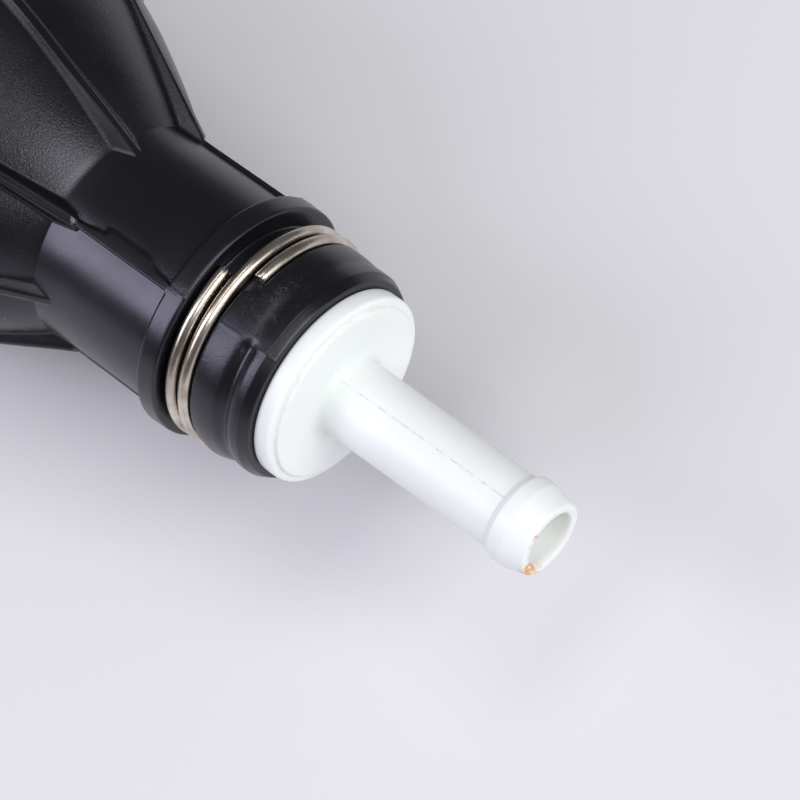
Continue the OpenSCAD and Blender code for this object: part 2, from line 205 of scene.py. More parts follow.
def refined(points, step):
    """The same outline with no stretch longer than step."""
    out = [points[0]]
    for a, b in zip(points[:-1], points[1:]):
        n = max(1, math.ceil(np.linalg.norm(b - a) / step))
        out += [a + (b - a) * k / n for k in range(1, n + 1)]
    return np.array(out)


def spread(outline, angles):
    """x and r of an outline, with one column for each angle."""
    return [np.repeat(outline[:, k:k + 1], len(angles), axis=1) for k in (0, 1)]


def mesh_piece(name, verts_mm, faces, body, node, attributes):
    """A smooth mesh object that replaces a CAD node and rides on its body."""
    mesh = bpy.data.meshes.new(name)
    mesh.from_pydata((np.asarray(verts_mm) * MM).tolist(), [], faces)
    mesh.validate()
    mesh.shade_smooth()
    for key, values in attributes.items():
        layer = mesh.attributes.new(key, "FLOAT", "POINT")
        layer.data.foreach_set("value", np.asarray(values, np.float32).ravel())
    piece = bpy.data.objects.new(name, mesh)
    bpy.context.scene.collection.objects.link(piece)
    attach(piece, body)
    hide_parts(node)
    return piece


def ring_grid(x, r, angles):
    """Vertices and faces of a closed turned skin. x and r are rows by columns."""
    rows, cols = x.shape
    a = np.radians(angles)[None, :]
    verts = np.stack([x, r * np.cos(a), r * np.sin(a)], axis=-1).reshape(-1, 3)
    i = np.arange(rows)[:, None]
    j = np.arange(cols)[None, :]
    down, across = (i + 1) % rows, (j + 1) % cols
    quads = np.stack([i * cols + j, i * cols + across,
                      down * cols + across, down * cols + j], axis=-1)
    return verts, quads.reshape(-1, 4).tolist()


def turned_round(verts):
    """The outlet's vertices turned half a turn round Z, for the inlet."""
    return verts * np.array([-1, -1, 1])


# ---- Rubber bulb ----

# The belly is an arc, and a straight cone follows it down to the neck.
BELLY_RISE = BELLY_R - NECK_R
BELLY_ARC = ((CREASE_X * math.tan(CONE) - BELLY_RISE)
             / (math.tan(CONE) * math.sin(CONE) - 1 + math.cos(CONE)))
BELLY_C = BELLY_R - BELLY_ARC
BULB_WALL = 2.6

# The neck flares a little towards the bulb. The panels between the ribs swell
# along SWELL_SPAN, most of all past its middle.
NECK_FLARE, FLARE_END = 0.18, 34.2
FLARE_CREASE_X = CREASE_X - NECK_FLARE / math.tan(CONE)
PANEL_SWELL, SWELL_SPAN, SWELL_SKEW = 0.45, (15.0, 30.0), 1.6

# A rib has a flat crest, given as half its width, and sides as wide as a share
# of its height. A pointed rib changes both on its way to the neck.
RIB_H = 0.7
RIB_FOOT, BLUNT_FOOT = 32.6, 34.2
RIB_CHANGE, RIB_FLAT, RIB_SIDE = (15.0, 31.0), (0.48, 0.36), (0.62, 0.85)
RIB_RISE, RIB_SHARE = (20.0, 28.0), (0.75, 1.0)
BLUNT_FLAT, BLUNT_SIDE = 0.42, 0.4
BLUNT_X, BLUNT_SKEW, BLUNT_RUN = 33.1, 0.5, 0.5
SIDE_LEAST, SIDE_CORNER = 0.05, 0.22
RIB_SEEN = 0.02             # height from which a rib counts as there

# A strip runs from each blunt rib's end to the collar. One side is straight,
# and the other widens, steps out to a pad and curves in again.
STRIP_START, STRIP_OVERLAP = 31.25, 0.4
STRIP_H, STRIP_LEAN = 0.48, 0.28
STRIP_SIDE = 0.35
STRIP_PAD_X, PAD_LEAD, PAD_RUN, STRIP_PAD = 36.6, 0.5, 0.6, 1.65
STRIP_WIDEN, STRIP_NARROW = (33.0, STRIP_PAD_X), (0.5, 0.95)
STRIP_CURVE, STRIP_FOOT = (41.9, 44.4), (0.85, 0.6)
STRAIGHT_EDGE, CURVED_EDGE = 0.2, 0.25

ARROW_TIP, ARROW_NECK, ARROW_W, ARROW_SHAFT, ARROW_H = 12.0, 2.0, 4.5, 2.0, 0.4
ARROW_EDGE = 0.3

# The cuff follows the wire up to FOLLOW_END. One mould half has a deep groove
# and a lip, and the other hardly any groove. On one side of the clip the rubber
# bulges out beside the wire.
CUFF_CORNERS = [(55.0, 12.33, 0), (57.4, 12.14, 0), (58.9, 12.12, 0.5), (RUBBER_END, 11.6, 0.3)]
FOLLOW_START, FOLLOW_SHORT, FOLLOW_END = 2.2, 2.4, 56.2
WIRE_ROOM, END_ROOM, END_FADE = 0.12, 0.6, 15.0
DEEP_FROM, DEEP_RUN = -4.0, 8.0
GROOVE_X, GROOVE_W, GROOVE_DEPTH, GROOVE_FAINT = 56.75, 0.62, 0.5, 0.05
LIP_X, LIP_W, LIP_H = 58.15, 0.7, 0.05
BULGE, BULGE_H = (225.0, 50.0, 54.0, 1.2), 0.5

# Flash on the parting lines, and the patches and shares of the skin's masks.
SEAM_W, COLLAR_FLASH, CUFF_FLASH = 0.2, 0.05, 0.015
GRAIN, GRAIN_RIB, GRAIN_REST, GRAIN_CUFF = 0.8, 0.6, 0.08, 0.5
GRAIN_GAP, GRAIN_RUN = 0.2, 1.5
WORN_PATCH = (88.0, 18.0, 55.9, 2.2)
COLLAR_ROUGH = (109.5, 2.8, 46.8, 1.3)
CUFF_ROUGH_AT, CUFF_ROUGH_W, CUFF_ROUGH = 110.0, 2.5, 0.2

# Margins by which a place counts as outside the bore, as up to the collar, as
# beside it, and as on the cuff.
BORE_MARGIN, COLLAR_MARGIN, BESIDE_COLLAR = 0.5, 0.3, 1
CUFF_STEP, CUFF_RISE, CUFF_BEFORE, CUFF_SHORT = 0.3, 0.5, 0.6, 0.2

# Spacing of the mesh, along X and round the axis.
ARROW_STEP, CONE_STEP, SKIN_STEP, BORE_STEP = 0.5, 0.6, 0.33, 1.5
FLARE_ROWS, CAVITY_ROWS = 18, 14
FINE_ZONES = [(RIBS, 1.2, 0.25), (RIBS, 5.5, 0.6), (STRIPS, 8.5, 0.9),
              (SEAMS, 1.8, 0.3), (ARROWS, 12.0, 0.9)]
COARSE = 2.0


def cone_base(x):
    """Radius of the bulb between its ribs, from the belly to the collar."""
    tangent = BELLY_ARC * math.sin(CONE)
    arc = BELLY_C + np.sqrt(np.maximum(BELLY_ARC ** 2 - np.minimum(x, tangent) ** 2, 0))
    cone = NECK_R + (CREASE_X - x) * math.tan(CONE)
    return np.where(x < tangent, arc, np.maximum(cone, NECK_R))


def flared(x):
    """Radius of the neck, which flares a little towards the crease."""
    share = np.clip((FLARE_END - x) / (FLARE_END - FLARE_CREASE_X), 0, 1)
    return NECK_R + NECK_FLARE * share ** 2


def rib_crest(x, foot):
    """Radius of a rib's crest: an arc, then a straight run to the neck at foot."""
    arc_r = BELLY_ARC + RIB_H
    dist = math.hypot(foot, NECK_R - BELLY_C)
    sweep = (math.pi / 2 - math.atan2(NECK_R - BELLY_C, foot)
             - math.acos(min(1.0, arc_r / dist)))
    tangent = arc_r * math.sin(sweep)
    start = BELLY_C + arc_r * math.cos(sweep)
    slope = (start - NECK_R) / (foot - tangent)
    arc = BELLY_C + np.sqrt(np.maximum(arc_r ** 2 - np.minimum(x, tangent) ** 2, 0))
    return np.where(x < tangent, arc, NECK_R + (foot - x) * slope)


def ribs_on(x, r, angles):
    """Height that the eight ribs add, and how far each place is covered by them.

    Every second rib has a blunt, slanted end on the neck. The others are
    pointed: they are lower over the belly and run out on the neck, with sides
    that get flatter on the way.
    """
    total, cover = np.zeros_like(r), np.zeros_like(r)
    for k, centre in enumerate(RIBS):
        across = arc_from(angles, centre, r)
        if k % 2 == 0:
            height = np.maximum(rib_crest(x, BLUNT_FOOT) - r, 0)
            height = height * smooth((BLUNT_X + BLUNT_SKEW * across - x) / BLUNT_RUN)
            flat, side = BLUNT_FLAT, BLUNT_SIDE * height + SIDE_LEAST
        else:
            height = np.maximum(rib_crest(x, RIB_FOOT) - r, 0)
            height = height * between(x, RIB_RISE, RIB_SHARE)
            flat = between(x, RIB_CHANGE, RIB_FLAT)
            side = between(x, RIB_CHANGE, RIB_SIDE) * height + SIDE_LEAST
        share = 1 - soft_ramp((np.abs(across) - flat) / side, SIDE_CORNER)
        total = np.maximum(total, height * share)
        cover = np.maximum(cover, share * (height > RIB_SEEN))
    return total, cover


def strips_on(x, r, angles):
    """Height that the four strips along the neck add."""
    pad = smooth((x - STRIP_PAD_X + PAD_LEAD) / PAD_RUN)
    wide = between(x, STRIP_WIDEN, STRIP_NARROW)
    wide = wide + (STRIP_PAD - wide) * pad
    foot = between(x, (STRIP_CURVE[1], COLLAR_X), STRIP_FOOT)
    curve = smooth((x - STRIP_CURVE[0]) / (STRIP_CURVE[1] - STRIP_CURVE[0]))
    wide = wide + (foot - wide) * curve
    inside = (x > STRIP_START) & (x < COLLAR_X + STRIP_OVERLAP)
    total = np.zeros_like(r)
    for centre in STRIPS:
        across = -arc_from(angles, centre, r)
        edge = (smooth((across + STRIP_SIDE) / STRAIGHT_EDGE)
                * smooth((wide - across) / CURVED_EDGE))
        lean = 1 - STRIP_LEAN * (across + STRIP_SIDE)
        total = np.maximum(total, np.where(inside, STRIP_H * lean * edge, 0))
    return total


def arrows_on(x, r, angles, sign):
    """Height of the raised flow arrow on each side of the belly."""
    along = x * sign
    half = np.where(along < ARROW_NECK, ARROW_SHAFT,
                    ARROW_W * (ARROW_TIP - along) / (ARROW_TIP - ARROW_NECK))
    total = np.zeros_like(r)
    for centre in ARROWS:
        away = np.abs(arc_from(angles, centre, r))
        edge = smooth((half - away) / ARROW_EDGE + 0.5) * (along > -ARROW_TIP)
        total = np.maximum(total, ARROW_H * edge * (along < ARROW_TIP))
    return total


def deep_half(angles):
    """Share of the mould half that has the cuff's deep groove, by angle."""
    past = np.degrees(np.sin(np.radians(turn_between(angles, SEAMS[0]))))
    return smooth((past - DEEP_FROM) / DEEP_RUN)


def cuff_form(x, angles, clip_angles):
    """Height that the cuff gains or loses against its plain outline."""
    deep = deep_half(angles)
    groove = bump_at(x, GROOVE_X, GROOVE_W)
    lip = bump_at(x, LIP_X, LIP_W)
    return (deep * (LIP_H * lip - GROOVE_DEPTH * groove) - (1 - deep) * GROOVE_FAINT * groove
            + BULGE_H * patch(clip_angles, x, *BULGE))


def wire_edge(angles):
    """How far the cuff follows the clip's last turn back, at each angle."""
    past = (np.asarray(angles) - CLIP_START) % 360
    outermost = CLIP_FIRST_X + CLIP_PITCH * (1 + past / 360)
    own_end = (CLIP_START + 360 * CLIP_TURNS) % 360
    beside = (np.asarray(angles) - own_end) % 360
    room = WIRE_ROOM + END_ROOM * np.exp(-beside / END_FADE)
    last = CLIP_FIRST_X + CLIP_PITCH * CLIP_TURNS
    outermost = np.minimum(outermost, last)
    return CUFF_X - np.minimum(CUFF_X, outermost + WIRE_R + room)


def outer_half():
    """Outline [x, r] of the bulb's outside, from the belly to the rubber's end."""
    belly_x = np.concatenate([np.arange(0, ARROW_TIP + 0.6, ARROW_STEP),
                              np.arange(ARROW_TIP + 1, CREASE_X - 1.4, CONE_STEP)])
    belly = np.stack([belly_x, cone_base(belly_x)], axis=1)
    flare_x = np.linspace(FLARE_CREASE_X + 0.4, FLARE_END, FLARE_ROWS)
    rest = rounded([
        (belly_x[-1], cone_base(belly_x[-1]), 0),
        (FLARE_CREASE_X, NECK_R + NECK_FLARE, 0.2),
        *[(x, flared(x), 0) for x in flare_x],
        (COLLAR_X, NECK_R, 0.2),
        (COLLAR_X, COLLAR_R, 0.35),
        (SEAT_X, COLLAR_R - 0.1, 0.3),
        (SEAT_X, SEAT_R, 0.25),
        (CUFF_X, SEAT_R, 0.3),
        (CUFF_X, CUFF_R, 0.35),
        *CUFF_CORNERS,
        (RUBBER_END, BORE_R, 0),
    ])
    return np.concatenate([belly, refined(rest, SKIN_STEP)[1:]])


def inner_half():
    """Outline [x, r] of the cavity and bore, from the rubber's end back to the middle."""
    arc = BELLY_ARC - BULB_WALL
    cone_x, cone_r = arc * math.sin(CONE), BELLY_C + arc * math.cos(CONE)
    mouth = cone_x + (cone_r - BORE_R) / math.tan(CONE)
    straight = np.array([[RUBBER_END - 0.5, BORE_R], [mouth, BORE_R]])
    cavity_x = np.linspace(cone_x, 0, CAVITY_ROWS)
    cavity = np.stack([cavity_x, BELLY_C + np.sqrt(arc ** 2 - cavity_x ** 2)], axis=1)
    return np.concatenate([refined(straight, BORE_STEP), cavity])


def bulb_half(outline, angles, sign):
    """x, r and masks of the dressed outside on one half; sign is 1 at the outlet."""
    x, base = spread(outline, angles)
    clip_angles = angles if sign > 0 else 180 - angles
    outside = base > BORE_R + BORE_MARGIN
    to_collar = outside & (x < COLLAR_X + COLLAR_MARGIN)
    # ribs, strips and arrows, none of them higher than the collar beside it
    ribs, on_rib = ribs_on(x, base, angles)
    relief = np.maximum(ribs, strips_on(x, base, angles))
    relief = np.maximum(relief, arrows_on(x, base, angles, sign))
    room = np.maximum(COLLAR_R - base, 0)
    relief = np.where(x > COLLAR_X - BESIDE_COLLAR, np.minimum(relief, room), relief)
    r = base + np.where(to_collar, relief, 0)
    # the panels' swell, which is nothing at each rib
    panel = np.abs(np.sin(np.radians((angles - RIB_CLOCK) * 4)))
    along = np.clip((x - SWELL_SPAN[0]) / (SWELL_SPAN[1] - SWELL_SPAN[0]), 0, 1)
    r = r + PANEL_SWELL * np.sin(np.pi * along ** SWELL_SKEW) * panel * to_collar
    # flash along the mould's parting lines, on the collar and faintly on the cuff
    seam = parting_lines(SEAMS, angles, base, SEAM_W) * (outside & (x > COLLAR_X))
    r = r + np.where(x > SEAT_X, CUFF_FLASH, COLLAR_FLASH) * seam
    # the cuff follows the wire
    on_cuff = smooth((base - SEAT_R - CUFF_STEP) / CUFF_RISE)
    on_cuff = on_cuff * (x > CUFF_X - CUFF_BEFORE) * (x < RUBBER_END - CUFF_SHORT)
    shift = wire_edge(clip_angles)[None, :]
    shift = shift * smooth((x - SEAT_X - FOLLOW_START) / (CUFF_X - SEAT_X - FOLLOW_SHORT))
    shift = shift * (1 - smooth((x - CUFF_X) / (FOLLOW_END - CUFF_X)))
    x = x - shift
    r = r + cuff_form(x, angles, clip_angles) * on_cuff
    on_bulb = smooth((CREASE_X - GRAIN_GAP - x) / GRAIN_RUN)
    seam_rough = CUFF_ROUGH * bump_at(turn_between(angles, CUFF_ROUGH_AT), 0, CUFF_ROUGH_W)
    masks = {
        "grain": (on_bulb * (GRAIN - GRAIN_RIB * on_rib) + GRAIN_REST
                  + GRAIN_CUFF * on_cuff * deep_half(angles)),
        "wear": patch(clip_angles, x, *WORN_PATCH) * on_cuff,
        "rough": np.maximum(patch(angles, x, *COLLAR_ROUGH), seam_rough * on_cuff),
    }
    return x, r, masks


def make_bulb():
    angles = columns(FINE_ZONES, COARSE)
    outline = outer_half()
    xo, ro, mo = bulb_half(outline, angles, 1)
    xi, ri, mi = bulb_half(outline, angles, -1)
    inner_x, inner_r = spread(inner_half(), angles)
    none = np.zeros_like(inner_x)
    # rows: inlet end to belly, belly to outlet end, then back along the inside
    x = np.concatenate([-xi[:0:-1], xo, inner_x, -inner_x[-2::-1]])
    r = np.concatenate([ri[:0:-1], ro, inner_r, inner_r[-2::-1]])
    masks = {n: np.concatenate([mi[n][:0:-1], mo[n], none, none[-2::-1]]) for n in mo}
    verts, faces = ring_grid(x, r, angles)
    return mesh_piece("rubber_bulb", verts, faces, "pump", "bulb", masks)


# ---- White fittings ----

FACE_X = RUBBER_END + 2.1
DISC_X, DISC_R = FACE_X + 0.4, 9.9
SHANK_R, CREST_R, TIP_R, HOLE_R = 4.25, 4.75, 4.05, 3.1
CREST_END = TIP_X - 2.6
CREST_START = CREST_END - 1.5
STEP_X = CREST_START - 0.8
PLUG_R, CHAMBER_R, FUNNEL_R = 9.2, 7.5, 5.0
PLUG_SEAT = RUBBER_END + 0.02
SHOULDER_X = RUBBER_END - 2.9
FUNNEL_END = SHOULDER_X + 2.1
PLUG_GROOVE, PLUG_GROOVE_R = (49.475, 53.039), 8.6
FITTING_STEP, FITTING_ARC = 0.55, 6

FITTING_SEAMS, LINE_W, LINE_H = [93.5, 273.5], 0.07, 0.02
LINE_ZONES = [(FITTING_SEAMS, 2.0, 0.3)]
RUST_REACH, RUST_RUN = 1.1, 1.0
RUST_AT, RUST_W = 200.0, 30.0
FAINT_AT, FAINT_W, FAINT_OUT, FAINT_SHARE = 115.0, 26.0, 0.9, 0.45
# grime and painted shade: a darker line on the face at the foot of the disc's step
GRIME_SHADE_OUT, GRIME_SHADE_W, GRIME_SHADE_BEHIND = 0.1, 0.15, 0.1
SHANK_SPAN, SHANK_SKIN_R = (DISC_X + 0.6, STEP_X + 0.3), HOLE_R + 0.5
HOLE_MARGIN = 0.05


def fitting_outline():
    """Closed outline of the fitting: tip, shank, flange, plug, and back inside."""
    return rounded([
        (TIP_X, HOLE_R + 0.12, 0), (TIP_X, TIP_R, 0.22),
        (CREST_END, CREST_R, 0.5), (CREST_START, CREST_R, 0.35),
        (STEP_X, SHANK_R - 0.05, 0.3), (DISC_X + 2.2, SHANK_R + 0.08, 0.0),
        (DISC_X, SHANK_R + 0.1, 2.0), (DISC_X, DISC_R, 0.25),
        (FACE_X, DISC_R + 0.12, 0.15), (FACE_X, FLANGE_R, 0.5),
        (PLUG_SEAT, FLANGE_R, 0.3), (PLUG_SEAT, PLUG_R, 0.1),
        (PLUG_GROOVE[1], PLUG_R, 0.1), (PLUG_GROOVE[1], PLUG_GROOVE_R, 0.1),
        (PLUG_GROOVE[0], PLUG_GROOVE_R, 0.1), (PLUG_GROOVE[0], PLUG_R, 0.1),
        (PLUG_END + 0.6, PLUG_R, 0.2), (PLUG_END, PLUG_R - 0.6, 0.15),
        (PLUG_END, CHAMBER_R + 0.25, 0.1), (PLUG_END + 0.5, CHAMBER_R, 0.1),
        (SHOULDER_X, CHAMBER_R, 0.1), (SHOULDER_X, FUNNEL_R, 0.2),
        (FUNNEL_END, HOLE_R, 0.4), (TIP_X - 0.12, HOLE_R, 0.0),
    ], steps=FITTING_ARC)


def make_fitting(end, sign):
    """The outlet's fitting, or the same turned round Z for the inlet."""
    # from the inside out, so that the faces point outwards
    outline = refined(fitting_outline(), FITTING_STEP)[::-1]
    angles = columns(LINE_ZONES, COARSE)
    x, r = spread(outline, angles)
    on_shank = (x > SHANK_SPAN[0]) & (x < SHANK_SPAN[1]) & (r > SHANK_SKIN_R)
    seam = parting_lines(FITTING_SEAMS, angles, r, LINE_W) * on_shank
    r = r + LINE_H * seam
    at_tip = smooth((x - TIP_X + RUST_REACH) / RUST_RUN)
    stain = at_tip * bump_at(turn_between(angles, RUST_AT), 0, RUST_W)
    faint = at_tip * bump_at(turn_between(angles, FAINT_AT), 0, FAINT_W)
    faint = faint * (r < HOLE_R + FAINT_OUT)
    masks = {
        "seam": seam,
        "rust": (stain + FAINT_SHARE * faint) * (sign > 0),
        # painted light: marks the bore, which is painted lighter than the outside to make up for
        # the shade inside it
        "inside": (r < HOLE_R + HOLE_MARGIN) & (x < TIP_X - HOLE_MARGIN),
        # grime and painted shade on the face, at the foot of the disc
        "grime_and_shade": bump_at(r, DISC_R + GRIME_SHADE_OUT, GRIME_SHADE_W) * (x > FACE_X - GRIME_SHADE_BEHIND),
    }
    verts, faces = ring_grid(x, r, angles)
    if sign < 0:
        verts = turned_round(verts)
    return mesh_piece(f"{end}_barb_fitting", verts, faces, "pump",
                      f"{end}_fitting", masks)


# ---- Wound wire ----

CHAMFER, CHAMFER_SHARE = 0.12, 0.82     # length and end, as shares of the radius
BURR_SEED = 4
CLIP_PER_TURN, CLIP_SIDES, CLIP_BURR = 120, 24, 0.7
SPRING_WIRE_R, SPRING_TURNS = 0.25, 3.5
SPRING_PER_TURN, SPRING_SIDES = 48, 14


def helix(radius, x0, pitch, start):
    """Centre line of a coil round the X axis, by turns."""
    def place(t):
        a = math.radians(start + 360 * t)
        return np.array([x0 + pitch * t, radius * math.cos(a), radius * math.sin(a)])
    return place


def wire(name, place, turns, per_turn, sides, radius, body, node, flip=False, burr=0.0):
    """A round wire along place(t), with cut ends that have a small chamfer.

    The first end can have a burr: a torn rim up to that many wire radii long.
    """
    n = math.ceil(turns * per_turn)
    torn = np.random.default_rng(BURR_SEED).uniform(0, burr, (2, sides)) * radius
    t = np.linspace(0, turns, n + 1)
    step = 1e-4
    middle = np.array([place(v) for v in t])
    ahead = np.array([place(v + step) - place(v - step) for v in t])
    ahead /= np.linalg.norm(ahead, axis=1)[:, None]
    out = middle * np.array([0, 1, 1])
    out /= np.linalg.norm(out, axis=1)[:, None]
    side = np.cross(ahead, out)
    side /= np.linalg.norm(side, axis=1)[:, None]
    chamfer = CHAMFER * radius
    # rings as (point along the wire, share of the radius, push past that point)
    rings = [(i, 1.0, 0.0) for i in range(n + 1)] + [(n, CHAMFER_SHARE, chamfer)]
    if burr:
        rings = [(0, 0.5, 0.5 * torn[1]), (0, 0.8, -torn[0]), (0, 1.0, -0.4 * torn[0])] + rings[1:]
    else:
        rings = [(0, CHAMFER_SHARE, -chamfer)] + rings
    w = 2 * math.pi * np.arange(sides) / sides
    verts, around, along = [], [], []
    for i, share, push in rings:
        centre = middle[i] + ahead[i] * np.reshape(push, (-1, 1))
        verts.append(centre + radius * share * (np.cos(w)[:, None] * out[i]
                                                + np.sin(w)[:, None] * side[i]))
        around.append(np.cos(w))
        along.append(np.full(sides, t[i]))
    verts = np.concatenate(verts)
    faces = []
    for k in range(len(rings) - 1):
        for j in range(sides):
            m = (j + 1) % sides
            a, b = k * sides, (k + 1) * sides
            faces.append([a + j, a + m, b + m, b + j])
    last = (len(rings) - 1) * sides
    faces.append(list(reversed(range(sides))))
    faces.append([last + j for j in range(sides)])
    if flip:
        verts = turned_round(verts)
    return mesh_piece(name, verts, faces, body, node,
                      {"around": np.concatenate(around), "along": np.concatenate(along)})


def make_clip(end, sign):
    """A clip of bare wire, wound about two turns round the rubber."""
    return wire(f"{end}_wire_clip", helix(CLIP_R, CLIP_FIRST_X, CLIP_PITCH, CLIP_START),
                CLIP_TURNS, CLIP_PER_TURN, CLIP_SIDES, WIRE_R, "pump",
                f"{end}_clip", sign < 0, CLIP_BURR)


def make_spring(end):
    """A return spring, wound to fill the CAD spring's box."""
    low, high = box_mm(f"{end}_valve_spring")
    length = high[0] - low[0]
    radius = high[1] - SPRING_WIRE_R
    first = low[0] + SPRING_WIRE_R
    pitch = (length - 2 * SPRING_WIRE_R) / SPRING_TURNS
    spring = wire(f"{end}_return_spring", helix(radius, first, pitch, 0.0), SPRING_TURNS,
                  SPRING_PER_TURN, SPRING_SIDES, SPRING_WIRE_R, "pump",
                  f"{end}_valve_spring")
    lift = next(j for j in frame["joints"] if j["name"] == f"{end}_valve_lift")
    travel = max(lift["range_m"]) / MM
    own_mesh(spring)
    return spring


# ---- Materials ----

# Bump distances are in metres, and the scales of noise and cells are counts per
# metre. Only a wire's lines follow its turns, stretched by STREAKS across it.
SKIN_BUMP, WIRE_BUMP = 0.00002, 0.00001
STREAKS = 3.0


class Shader:
    """A material with one Principled shader and short calls to add nodes."""

    def __init__(self, name, **sockets):
        self.material = bpy.data.materials.new(name)
        self.material.use_nodes = True
        self.nodes = self.material.node_tree.nodes
        self.links = self.material.node_tree.links
        self.main = self.nodes["Principled BSDF"]
        for key, value in sockets.items():
            self.main.inputs[key.replace("_", " ")].default_value = value
        self.place = self.nodes.new("ShaderNodeTexCoord").outputs["Object"]

    def link(self, source, node, socket):
        self.links.new(source, node.inputs[socket])

    def noise(self, scale, detail=3.0, roughness=0.5, place=None):
        node = self.nodes.new("ShaderNodeTexNoise")
        node.inputs["Scale"].default_value = scale
        node.inputs["Detail"].default_value = detail
        node.inputs["Roughness"].default_value = roughness
        self.link(place or self.place, node, "Vector")
        return node.outputs["Fac"]

    def cells(self, scale):
        node = self.nodes.new("ShaderNodeTexVoronoi")
        node.inputs["Scale"].default_value = scale
        self.link(self.place, node, "Vector")
        return node.outputs["Distance"]

    def attribute(self, name):
        node = self.nodes.new("ShaderNodeAttribute")
        node.attribute_name = name
        return node.outputs["Fac"]

    def maths(self, kind, a, b=0.5):
        node = self.nodes.new("ShaderNodeMath")
        node.operation = kind
        for i, value in enumerate((a, b)):
            if isinstance(value, (int, float)):
                node.inputs[i].default_value = value
            else:
                self.links.new(value, node.inputs[i])
        return node.outputs[0]

    def times(self, a, b):
        return self.maths("MULTIPLY", a, b)

    def plus(self, a, b):
        return self.maths("ADD", a, b)

    def span(self, value, low, high, to_low=0.0, to_high=1.0):
        """Value between low and high, mapped to between to_low and to_high."""
        node = self.nodes.new("ShaderNodeMapRange")
        self.link(value, node, "Value")
        for key, number in (("From Min", low), ("From Max", high),
                            ("To Min", to_low), ("To Max", to_high)):
            node.inputs[key].default_value = number
        return node.outputs["Result"]

    def blend(self, share, a, b):
        """Colour a where share is 0 and b where it is 1."""
        node = self.nodes.new("ShaderNodeMix")
        node.data_type = "RGBA"
        self.links.new(share, node.inputs[0])
        # sockets 6 and 7 of this node are its two colours
        for i, value in ((6, a), (7, b)):
            if isinstance(value, tuple):
                node.inputs[i].default_value = (*value, 1)
            else:
                self.links.new(value, node.inputs[i])
        return node.outputs[2]

    def colour(self, value):
        self.link(value, self.main, "Base Color")

    def roughness(self, value):
        self.link(value, self.main, "Roughness")

    def bump(self, height, distance, strength):
        node = self.nodes.new("ShaderNodeBump")
        node.inputs["Distance"].default_value = distance
        node.inputs["Strength"].default_value = strength
        self.link(height, node, "Height")
        self.link(node.outputs["Normal"], self.main, "Normal")


def bulb_rubber():
    """Black rubber with a fine leather-like mould grain, dust and scuffs."""
    s = Shader("bulb_rubber", IOR=1.54, Specular_Tint=(0.88, 0.89, 1.0, 1.0))
    wrinkles = s.maths("ABSOLUTE", s.maths("SUBTRACT", s.noise(2700, 3, 0.6), 0.5))
    grain = s.times(s.maths("MINIMUM", s.times(wrinkles, 6.0), 1.0), s.attribute("grain"))
    fine = s.times(s.noise(6500, 2), 0.2)
    rough = s.times(s.noise(3400, 4, 0.7), s.attribute("rough"))
    speckle = s.times(s.span(s.noise(4200, 2), 0.5, 0.62),
                      s.span(s.noise(700, 3, 0.6), 0.42, 0.6))
    worn = s.times(speckle, s.attribute("wear"))
    height = s.plus(s.plus(grain, fine), s.times(rough, 8.0))
    s.bump(s.plus(height, s.times(worn, -0.6)), SKIN_BUMP, 0.7)
    cloudy = s.span(s.noise(70, 4), 0.35, 0.65)
    base = s.blend(cloudy, (0.004, 0.004, 0.005), (0.006, 0.006, 0.0075))
    dust = s.span(s.cells(260), 0.035, 0.02)
    rare = s.span(s.noise(95, 1), 0.6, 0.64)
    base = s.blend(s.times(dust, rare), base, (0.4, 0.4, 0.42))
    s.colour(s.blend(s.times(worn, 0.6), base, (0.045, 0.045, 0.048)))
    level = s.span(s.noise(160, 5, 0.6), 0.3, 0.7, 0.25, 0.33)
    s.roughness(s.plus(level, s.times(worn, 0.15)))
    return s.material


def white_plastic():
    """Moulded white plastic with grime in its seam, grime and painted shade at the foot of the
    flange's disc, a bore painted lighter as painted light, and a rust stain at the tip.
    """
    s = Shader("white_plastic", IOR=1.48, Subsurface_Weight=0.35, Subsurface_Scale=0.002,
               Subsurface_Radius=(1.0, 1.0, 1.0))
    clouds = s.span(s.noise(55, 3), 0.35, 0.65)
    base = s.blend(clouds, (0.84, 0.885, 0.865), (0.865, 0.905, 0.885))
    # painted light: the bore is painted lighter than the outside, to make up for the shade that
    # falls inside it
    base = s.blend(s.attribute("inside"), base, (0.91, 0.94, 0.90))
    line = s.times(s.attribute("seam"), s.span(s.noise(700, 4, 0.7), 0.42, 0.6))
    base = s.blend(s.times(line, 0.6), base, (0.42, 0.39, 0.34))
    spot = s.times(s.span(s.cells(360), 0.08, 0.04), s.span(s.noise(120, 1), 0.56, 0.6))
    base = s.blend(s.times(spot, 0.6), base, (0.5, 0.42, 0.3))
    # grime and painted shade: the face is darkened in a thin line at the disc's foot, where the
    # step's shade falls
    grime_and_shade = s.times(s.attribute("grime_and_shade"), s.span(s.noise(500, 4, 0.7), 0.4, 0.65))
    base = s.blend(s.times(grime_and_shade, 0.35), base, (0.6, 0.57, 0.5))
    ragged = s.span(s.noise(1300, 5, 0.7), 0.38, 0.62)
    stain = s.span(s.times(s.attribute("rust"), ragged), 0.12, 0.5)
    s.colour(s.blend(stain, base, (0.72, 0.36, 0.11)))
    s.roughness(s.plus(s.span(s.noise(400, 4), 0.3, 0.7, 0.36, 0.46), s.times(stain, 0.3)))
    s.bump(s.plus(s.noise(1800, 3), s.times(stain, 0.8)), SKIN_BUMP, 0.5)
    return s.material


